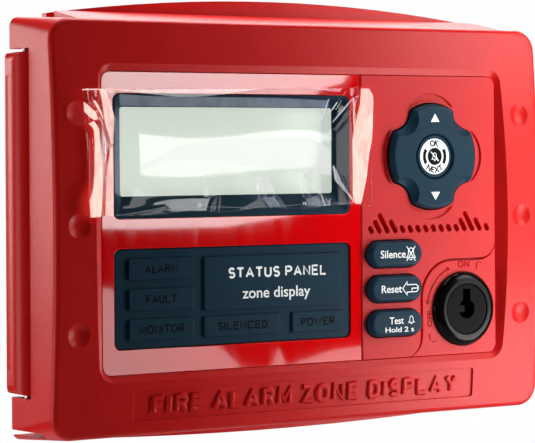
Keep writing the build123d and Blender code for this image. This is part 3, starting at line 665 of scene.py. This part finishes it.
def make_key_lettering(inks):
    shapes = {name: Print(KEY_H, INK_H) for name in KEY_Z}
    stroke = 0.3

    silence = shapes["silence_button"]
    z = KEY_Z["silence_button"]
    silence.text("Silence", (30.0, z), 2.4, KEY_BOLD, width=9.6)
    bell(silence, (36.9, z + 0.1), 4.4, stroke)
    silence.line([(35.2, z - 2.3), (38.6, z + 2.4)], stroke)
    silence.line([(35.2, z + 2.4), (38.6, z - 2.3)], stroke)

    reset = shapes["reset_button"]
    z = KEY_Z["reset_button"]
    reset.text("Reset", (29.4, z), 2.4, KEY_BOLD, width=7.8)
    arrow = [(33.6, z), (35.3, z + 2.1), (35.3, z + 1.15), (38.9, z + 1.15)]
    arrow += [(39.6, z + 0.5), (39.6, z - 0.5), (38.9, z - 1.15), (35.3, z - 1.15), (35.3, z - 2.1)]
    reset.line(arrow, stroke, closed=True)
    reset.line([(37.2, z), (37.2, z - 0.95)], stroke)
    reset.line([(37.1, z), (39.5, z)], stroke)

    test = shapes["test_button"]
    z = KEY_Z["test_button"]
    test.text("Test", (31.2, z + 0.9), 2.2, KEY_BOLD, width=5.4)
    bell(test, (36.9, z + 1.0), 2.8, stroke * 0.8)
    test.text("Hold 2 s", (32.35, z - 1.95), 1.6, KEY_BOLD, width=11.0)

    for name, shape in shapes.items():
        shape.build(name.replace("button", "print"), name, inks["white"])


def make_pad_marks(inks):
    x, z = PAD
    marks = Print(KEY_H, INK_H)
    marks.polygon([(x - 1.7, z + 11.0), (x + 1.7, z + 11.0), (x, z + 13.7)])
    marks.polygon([(x - 1.7, z - 11.3), (x, z - 13.9), (x + 1.7, z - 11.3)])
    marks.build("nav_arrows", "nav_pad", inks["white"])

    disc = Print(ACK_H, 0.06)
    disc.ring(PAD, 0, 5.7, steps=64)
    disc.build("ack_disc", "ack_button", inks["white"])

    dark = Print(ACK_H + 0.06, 0.04)
    dark.ring(PAD, 0, 2.75, steps=40)
    for start in (-33, 147):
        dark.ring(PAD, 3.5, 4.6, start, start + 66, steps=16)
    for words, middle, radius, step in (("OK", 90, 4.25, -24), ("NEXT", -90, 4.25, 21)):
        first = middle - step * (len(words) - 1) / 2
        for i, letter in enumerate(words):
            angle = first + step * i
            at = arc(PAD, radius, angle, angle, 1)[0]
            dark.text(letter, at, 1.9, MARK_BOLD, turn=angle - 90 if middle > 0 else angle + 90)
    dark.build("ack_print", "ack_button", inks["dark"])

    icon = Print(ACK_H + 0.1, 0.03)
    bell(icon, (x, z), 2.9, 0.24)
    icon.line([(x - 1.5, z + 1.5), (x + 1.5, z - 1.5)], 0.36)
    icon.build("ack_icon", "ack_button", inks["white"])


def make_lock_marks(inks):
    x, z = LOCK
    marks = Print(PANEL_H, 0.04)
    marks.text("ON", (x + 0.4, z + 14.4), 2.1, MARK_BOLD, width=4.6)
    marks.text("OFF", (x - 13.2, z - 2.8), 1.8, MARK_BOLD, width=5.2, turn=90)
    sweep = arc(LOCK, 14.2, 112, 172, 20)
    marks.line(sweep, 0.55)
    for tip, way in ((sweep[0], -1), (sweep[-1], 1)):
        angle = math.degrees(math.atan2(tip[1] - z, tip[0] - x))
        for reach in (13.3, 15.1):
            back = arc(LOCK, reach, angle - way * 5, angle - way * 5, 1)[0]
            marks.line([tip, back], 0.28)
    marks.line([(x + 5.6, z + 12.6), (x + 5.9, z + 14.6), (x + 6.6, z + 15.0)], 0.45)
    marks.line([(x - 12.9, z - 9.6), (x - 13.4, z - 8.0), (x - 12.8, z - 7.5)], 0.45)
    marks.line([(x - 12.4, z - 10.2), (x - 10.4, z - 10.0)], 0.28)
    marks.ring((x + 7.4, z + 14.6), 0, 0.3, steps=12)
    marks.build("lock_marks", "cover", inks["red"])


# ---------------------------------------------------------------- protective film


def film_height(x, z, ripple):
    """Height of the film: up on the bezel at its left, crowned over the display, lifting at its ends."""
    left = ramp(x, -71.4, -75.4)
    height = 24.72 + (crown_height(z) + 0.55 - 24.72) * left
    height += 2.2 * ramp(x, -74.0, -79.5) ** 1.5
    height += 1.6 * ramp(x, 15.5, 25.0)
    middle = ramp(x, -71, -60) * ramp(x, 18, 8)
    ridge = 20.5 + 1.6 * math.sin(x * 0.085 + 2.2)
    height += middle * max(0.0, 1.15 - 0.0030 * (z - ridge) ** 2)
    height += 0.5 * ramp(z, 9.0, 3.0) * middle * (0.5 + 0.5 * math.sin(x * 0.13 + 0.8))
    for start, end, width, rise in FILM_CREASES:
        height += rise * crease(x, z, start, end, width)
    for wave, turn, phase, rise in ripple:
        along = x * math.cos(turn) + z * math.sin(turn)
        height += rise * math.sin(along * wave + phase)
    return height


def crease(x, z, start, end, width):
    """A ridge that is sharp along a line and fades out at its ends."""
    sx, sz = start
    dx, dz = end[0] - sx, end[1] - sz
    length = math.hypot(dx, dz)
    along = ((x - sx) * dx + (z - sz) * dz) / length**2
    across = abs((x - sx) * dz - (z - sz) * dx) / length
    fade = ramp(along, -0.15, 0.15) * ramp(along, 1.2, 0.7)
    return fade * math.exp(-((across / width) ** 1.3))


# crumpled and creased places on the film where highlights are painted: kind, then two edges as (x, z) points
# in mm
# loose film: thickness, thickness of the patches laid on it and how far they stand off, in millimetres
FILM_THICK = 0.06
PATCH_THICK = 0.03
PATCH_RISE = 0.22
FILM_CELLS = (240, 100)
PATCH_CELLS = (5, 28)
# corners, as (x, z) in millimetres
FILM_BOTTOM = ((-79.0, 3.4), (22.6, 5.4))
FILM_TOP = ((-80.7, 40.8), (23.0, 42.3))
# ridges: start, end, width and rise, in millimetres
FILM_CREASES = [
    ((-79, 37), (-72, 31), 0.5, 0.5),
    ((-77, 39), (-70, 27), 0.5, 0.5),
    ((-77, 28), (-74, 8), 0.6, 0.5),
    ((10, 31), (19, 41), 0.4, 0.2),
    ((8, 35), (14, 42), 0.4, 0.15),
    ((8, 29), (17, 37), 0.35, 0.15),
    ((9, 16), (16, 4.5), 0.35, 0.7),
    ((11, 15), (17, 6), 0.3, 0.4),
    ((-37, 3.5), (-35, 8.5), 0.4, 0.5),
    ((-34, 3), (-33, 9), 0.3, 0.45),
    ((-14, 4), (-19, 11), 0.45, 0.5),
    ((-9, 4), (-13, 9), 0.3, 0.35),
    ((2, 4), (-3, 11), 0.45, 0.5),
    ((5, 4.5), (3, 9), 0.3, 0.35),
    ((-66, 4), (-52, 6), 0.4, 0.35),
]
# places on the film painted as glowing patches: painted highlights and reflections, and for haze also the
# film's milky haze; kind, then the two edges as (x, z) points in millimetres
FILM_PAINTED_PATCHES = [
    ("gleam", [(-76.7, 27.2), (-76.8, 16.9), (-77.6, 11.8), (-79.3, 8.5), (-78.9, 3.5)],
     [(-74.3, 27.2), (-72.8, 20.1), (-73.0, 11.7), (-73.5, 7.2), (-74.0, 3.5)]),
    ("gleam", [(-69.6, 23.4), (-70.7, 18.2), (-71.2, 11.7), (-71.6, 3.6)],
     [(-68.9, 24.6), (-68.8, 18.1), (-68.8, 11.7), (-68.8, 3.7)]),
    ("gleam", [(-73.8, 40.8), (-72.5, 37.3), (-72.0, 34.4), (-71.4, 29.9), (-70.4, 27.6), (-69.4, 24.7)],
     [(-71.7, 40.7), (-69.7, 37.0), (-68.7, 33.8), (-68.4, 32.1), (-68.7, 27.9), (-68.8, 24.6)]),
    ("gleam", [(-80.5, 36.7), (-80.4, 34.0), (-78.6, 32.5), (-76.0, 31.6)],
     [(-80.3, 36.8), (-78.5, 35.5), (-75.9, 34.1), (-74.7, 32.1)]),
    ("gleam", [(-76.8, 37.4), (-75.8, 36.0), (-74.1, 33.7), (-72.7, 32.1)],
     [(-75.7, 37.2), (-74.4, 35.6), (-73.0, 34.0), (-72.1, 32.0)]),
    ("gleam", [(-79.2, 30.6), (-77.4, 29.6), (-76.6, 28.5), (-76.6, 27.2)],
     [(-76.5, 31.4), (-75.2, 30.1), (-74.4, 28.9), (-74.2, 27.2)]),
    ("gleam",
     [(18.9, 41.8), (18.6, 36.9), (16.9, 30.6), (15.8, 25.8), (15.8, 12.6), (16.1, 7.0), (16.8, 5.8)],
     [(21.6, 41.8), (23.0, 39.3), (22.5, 26.4), (21.5, 21.6), (20.6, 13.9), (19.3, 8.0), (18.7, 5.7)]),
    ("gleam", [(-80.7, 40.6), (-74.9, 40.8), (-69.2, 40.8), (-63.6, 40.4)],
     [(-80.8, 40.2), (-74.9, 40.5), (-69.2, 40.4), (-63.6, 40.1)]),
    ("haze", [(-68.5, 33.1), (-68.5, 23.4), (-68.5, 11.7), (-68.3, 10.3)],
     [(-67.1, 31.2), (-66.9, 23.3), (-66.7, 11.6), (-66.4, 9.3)]),
    ("haze", [(-66.7, 39.3), (-52.4, 38.7), (-29.3, 38.7), (-11.6, 38.6), (6.8, 38.0)],
     [(-66.5, 36.0), (-52.6, 35.8), (-29.5, 35.8), (-11.8, 35.8), (6.6, 35.8)]),
    ("white", [(-61.0, 17.8), (-47.4, 24.1), (-32.9, 26.4), (-1.2, 26.6), (6.9, 23.0)],
     [(-59.6, 16.8), (-49.8, 20.0), (-32.5, 19.4), (-21.2, 17.5), (6.9, 14.8)]),
    ("white", [(-39.6, 15.2), (-38.6, 8.8)], [(-38.2, 15.4), (-36.7, 8.7)]),
    ("white", [(-21.5, 14.5), (-17.5, 9.9)], [(-17.0, 14.8), (-13.3, 9.9)]),
    ("white", [(-4.3, 16.3), (0.7, 9.9)], [(-1.4, 16.4), (3.0, 9.9)]),
    ("haze", [(-18.3, 8.3), (-15.8, 5.8)], [(-13.7, 8.5), (-10.9, 5.6)]),
    ("haze", [(-1.9, 7.7), (-1.3, 5.5)], [(2.1, 8.6), (5.8, 5.4)]),
    ("glint", [(-41.5, 5.7), (-40.4, 7.5)], [(-39.3, 5.7), (-40.1, 7.5)]),
    ("glint", [(7.7, 17.6), (8.5, 13.2), (15.4, 7.0)], [(8.0, 17.9), (10.8, 12.7), (15.7, 7.4)]),
    ("glint", [(2.5, 10.7), (4.8, 5.6)], [(3.0, 10.7), (5.4, 5.5)]),
    ("glint", [(6.4, 5.5), (6.7, 7.5)], [(6.9, 5.5), (6.9, 7.5)]),
    ("glint", [(7.8, 31.4), (11.7, 35.0), (16.4, 39.2)], [(8.0, 31.1), (12.2, 34.6), (16.7, 38.8)]),
    ("glint", [(2.9, 30.8), (5.2, 35.4), (6.8, 38.5)], [(3.1, 30.7), (5.6, 35.3), (7.2, 38.4)]),
    ("glint", [(6.2, 33.6), (9.8, 37.5)], [(6.5, 33.4), (10.2, 37.3)]),
    ("gleam", [(16.1, 38.6), (16.4, 28.2), (15.7, 6.3)], [(16.4, 38.6), (16.7, 28.2), (16.0, 6.3)]),
    ("haze", [(-68.0, 3.8), (-55.8, 5.0), (-41.7, 6.1), (-23.9, 5.4), (-11.9, 5.6), (6.3, 6.4), (15.4, 6.2)],
     [(-68.0, 3.6), (-55.8, 4.8), (-41.7, 5.9), (-23.9, 5.2), (-11.9, 5.4), (6.3, 6.3), (15.4, 6.0)]),
]


def between(first, second, share):
    """The (x, z) place a share of the way from one place to another."""
    return tuple(a * (1 - share) + b * share for a, b in zip(first, second))


def along_line(points, share):
    """The place a share of the way through a list of points, each step taking the same share."""
    step = share * (len(points) - 1)
    i = min(int(step), len(points) - 2)
    return between(points[i], points[i + 1], step - i)


def film_sheet(name, grids, material, thickness):
    """Smooth thin sheets, each from rows of (x, z, h) points, as one piece on the cover."""
    mesh = bmesh.new()
    for grid in grids:
        rows = [[mesh.verts.new(point(*at)) for at in row] for row in grid]
        for low, high in zip(rows, rows[1:]):
            for i in range(len(low) - 1):
                mesh.faces.new((low[i], low[i + 1], high[i + 1], high[i]))
    made = bpy.data.meshes.new(name)
    mesh.to_mesh(made)
    mesh.free()
    for face in made.polygons:
        face.use_smooth = True
    sheet = place_mesh(made, name, "cover", material)
    thick = sheet.modifiers.new("thickness", "SOLIDIFY")
    thick.thickness = thickness * MM
    thick.offset = 0.0
    return sheet


def patch_grid(left, right, ripple):
    """Rows of points from one edge of a patch to the other, just above the film."""
    across, up = PATCH_CELLS
    grid = []
    for j in range(up + 1):
        a, b = along_line(left, j / up), along_line(right, j / up)
        row = []
        for i in range(across + 1):
            x, z = (a[k] + (b[k] - a[k]) * i / across for k in (0, 1))
            row.append((x, z, film_height(x, z, ripple) + PATCH_RISE))
        grid.append(row)
    return grid


def film_grid(ripple):
    """Rows of points over the whole film, with a dog-eared corner and a wavy lower edge."""
    across, up = FILM_CELLS
    grid = []
    for j in range(up + 1):
        v = j / up
        row = []
        for i in range(across + 1):
            u = i / across
            x, z = between(between(*FILM_BOTTOM, u), between(*FILM_TOP, u), v)
            z -= 1.3 * ramp(u, 0.95, 1.0) ** 2 * ramp(v, 0.8, 1.0)
            z += 0.35 * math.sin(u * 23) * ramp(v, 0.1, 0.0)
            row.append((x, z, film_height(x, z, ripple)))
        grid.append(row)
    return grid


def make_film(material):
    """Clear shipping film over the display, creased and lifting at its ends, with patches of painted
    highlight and reflection laid on it.
    """
    draw = random.Random(SEED)
    ripple = []
    for _ in range(8):
        ripple.append((draw.uniform(0.08, 0.3), draw.uniform(0, math.pi), draw.uniform(0, 6.28), 0.012))
    film = film_sheet("display_film", [film_grid(ripple)], material, FILM_THICK)
    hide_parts("protective_film")
    # painted light on the film: gleam and glint are painted highlights, white is a painted reflection over
    # the display, and haze is the film's milky haze with a painted glow
    kinds = {
        "gleam": painted_light_patch("film_gleam", (1.0, 0.72, 0.64), 0.62, 0.56),
        "haze": painted_light_patch("film_haze", (0.55, 0.62, 0.74), 0.3, 0.19),
        "glint": painted_light_patch("film_glint", (0.86, 0.88, 0.95), 0.5, 0.26),
        "white": painted_light_patch("film_white", (1.0, 1.0, 1.0), 0.95, 0.1),
    }
    # each kind becomes its own sheet of painted light, named film_ and the kind
    for kind, painted_look in kinds.items():
        grids = [patch_grid(left, right, ripple) for patch, left, right in FILM_PAINTED_PATCHES if patch == kind]
        film_sheet("film_" + kind, grids, painted_look, PATCH_THICK)


# ---------------------------------------------------------------- studio

# soft lamps: name, centre, target, size and brightness; lengths in metres
LAMPS = [
    ("right_upper", (0.15, -0.12, 0.09), (0.07, -0.03, 0.05), (0.08, 0.08), 6.8),
    ("right_middle", (0.15, -0.12, 0.0), (0.07, -0.03, 0.0), (0.08, 0.08), 2.6),
    ("right_lower", (0.15, -0.12, -0.08), (0.07, -0.03, -0.04), (0.08, 0.08), 8.2),
    ("top_front", (0.03, -0.05, 0.30), (0.0, -0.02, 0.0), (0.3, 0.06), 3.6),
    ("top_strip", (0.05, 0.09, 0.35), (0.0, 0.0, 0.03), (0.4, 0.2), 5.5),
    ("left_rear", (-0.788, 1.365, 0.278), (0.0, 0.0, 0.0), (0.75, 0.75), 5.5),
    ("left_side", (-1.565, 0.0, -0.333), (0.0, 0.0, 0.0), (0.75, 0.75), 4.9),
    ("right_rear", (0.678, 1.175, 0.848), (0.0, 0.0, 0.0), (0.75, 0.75), 3.3),
    ("right_side", (1.175, 0.678, 0.848), (0.0, 0.0, 0.0), (0.75, 0.75), 3.8),
]

# reflector cards: name, outline as (x, z) in metres, and brightness
CARDS = [
    (
        "upper_reflector",
        [
            (0.243, -0.021), (0.269, -0.022), (0.328, -0.022), (0.353, -0.019), (0.377, -0.016),
            (0.385, -0.008), (0.388, 0.03), (0.392, 0.055), (0.399, 0.062), (0.415, 0.066),
            (0.42, 0.072), (0.39, 0.086), (0.243, 0.086),
        ],
        7.5,
    ),
    (
        "lower_reflector",
        [
            (0.15, -0.3), (0.46, -0.3), (0.44, -0.098), (0.405, -0.1), (0.372, -0.108),
            (0.366, -0.096), (0.36, -0.11), (0.34, -0.108), (0.325, -0.094), (0.30, -0.08),
            (0.27, -0.066), (0.249, -0.056), (0.2, -0.05), (0.15, -0.05),
        ],
        3.0,
    ),
]
CARD_DISTANCE = 0.618
SHINY_PIECES = ("display_panel", "display_film")
# brightness of the white surroundings where they light the part, and where they are seen
WORLD_FILL = 0.02
WORLD_SEEN = 1.0
FLOOR_Z = -0.45
FLOOR_R = 0.7
FLOOR_SIDES = 96


def softbox(name, centre, target, size, radiance):
    """A rectangular area light that faces target. radiance is its brightness."""
    lamp = bpy.data.lights.new(name, "AREA")
    lamp.shape = "RECTANGLE"
    lamp.size, lamp.size_y = size
    lamp.energy = radiance * math.pi * size[0] * size[1]
    holder = bpy.data.objects.new(name, lamp)
    bpy.context.scene.collection.objects.link(holder)
    holder.location = centre
    holder.rotation_mode = "QUATERNION"
    holder.rotation_quaternion = (Vector(target) - Vector(centre)).to_track_quat("-Z", "Y")
    holder.visible_camera = False


def glow(name, radiance):
    n = Nodes(name)
    n.tree.nodes.remove(n.shader)
    light = n.add("ShaderNodeEmission")
    light.inputs["Strength"].default_value = radiance
    n.link(light.outputs[0], n.output.inputs["Surface"])
    return n.material


def card(name, outline, radiance, shiny):
    """A reflector card that only the shiny pieces mirror, with a cut outline of (x, z) metres."""
    mesh = bpy.data.meshes.new(name)
    mesh.from_pydata([(x, -CARD_DISTANCE, z) for x, z in outline], [], [list(range(len(outline)))])
    mesh.materials.append(glow(name, radiance))
    made = bpy.data.objects.new(name, mesh)
    bpy.context.scene.collection.objects.link(made)
    made.visible_camera = False
    made.visible_diffuse = False
    made.light_linking.receiver_collection = shiny


def make_studio():
    for lamp in LAMPS:
        softbox(*lamp)

    shiny = bpy.data.collections.new("shiny_pieces")
    for piece in bpy.context.scene.objects:
        if piece.type == "MESH" and piece.name in SHINY_PIECES:
            shiny.objects.link(piece)
    for name, outline, radiance in CARDS:
        card(name, outline, radiance, shiny)

    world = bpy.data.worlds.new("studio")
    bpy.context.scene.world = world
    world.use_nodes = True
    tree = world.node_tree
    ground = tree.nodes["Background"]
    ground.inputs["Color"].default_value = (1, 1, 1, 1)
    path = tree.nodes.new("ShaderNodeLightPath")
    level = tree.nodes.new("ShaderNodeMapRange")
    level.inputs["To Min"].default_value = WORLD_FILL
    level.inputs["To Max"].default_value = WORLD_SEEN
    tree.links.new(path.outputs["Is Camera Ray"], level.inputs["Value"])
    tree.links.new(level.outputs["Result"], ground.inputs["Strength"])

    n = Nodes("pale_floor")
    n.finish(n.blend(n.noise(3, 2), (0.8, 0.8, 0.8), (0.84, 0.84, 0.84)), n.spread(n.noise(8), 0.5, 0.7))
    floor = bpy.data.meshes.new("floor")
    rim = arc((0, 0), FLOOR_R, 0, 360, FLOOR_SIDES)[:-1]
    floor.from_pydata([(x, y, FLOOR_Z) for x, y in rim], [], [list(range(FLOOR_SIDES))])
    floor.materials.append(n.material)
    holder = bpy.data.objects.new("floor", floor)
    bpy.context.scene.collection.objects.link(holder)


# camera: place in metres, turn to the right and roll in radians, lens and sensor in millimetres
CAMERA_AT = (-0.3890, -0.6183, 0.0210)
CAMERA_TURN = math.radians(32.192)
CAMERA_ROLL = 0.0068
CAMERA_LENS = 154.72
CAMERA_SENSOR = 36.0
CAMERA_SHIFT_Y = -0.12307


def make_camera():
    """Stands to the left of the panel and looks level. The lens shift lowers the frame."""
    scene = bpy.context.scene
    camera = bpy.data.cameras.new("camera")
    camera.lens = CAMERA_LENS
    camera.sensor_width = CAMERA_SENSOR
    camera.shift_y = CAMERA_SHIFT_Y
    holder = bpy.data.objects.new("camera", camera)
    scene.collection.objects.link(holder)
    forward = Vector((math.sin(CAMERA_TURN), math.cos(CAMERA_TURN), 0))
    level = Vector((math.cos(CAMERA_TURN), -math.sin(CAMERA_TURN), 0))
    upright = Vector((0, 0, 1))
    right = level * math.cos(CAMERA_ROLL) - upright * math.sin(CAMERA_ROLL)
    up = upright * math.cos(CAMERA_ROLL) + level * math.sin(CAMERA_ROLL)
    turned = Matrix((right, up, -forward)).transposed().to_4x4()
    holder.matrix_world = Matrix.Translation(CAMERA_AT) @ turned
    scene.camera = holder
    scene.view_settings.view_transform = "Standard"
    scene.cycles.use_denoising = True


# ---------------------------------------------------------------- build

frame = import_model()
materials = make_materials()
inks = make_inks()
dress_nodes(frame, materials)
make_bezel_lettering(materials)
make_indicator_lettering(inks)
make_key_lettering(inks)
make_pad_marks(inks)
make_lock_marks(inks)
make_film(materials["clear_film"])
make_studio()
make_camera()
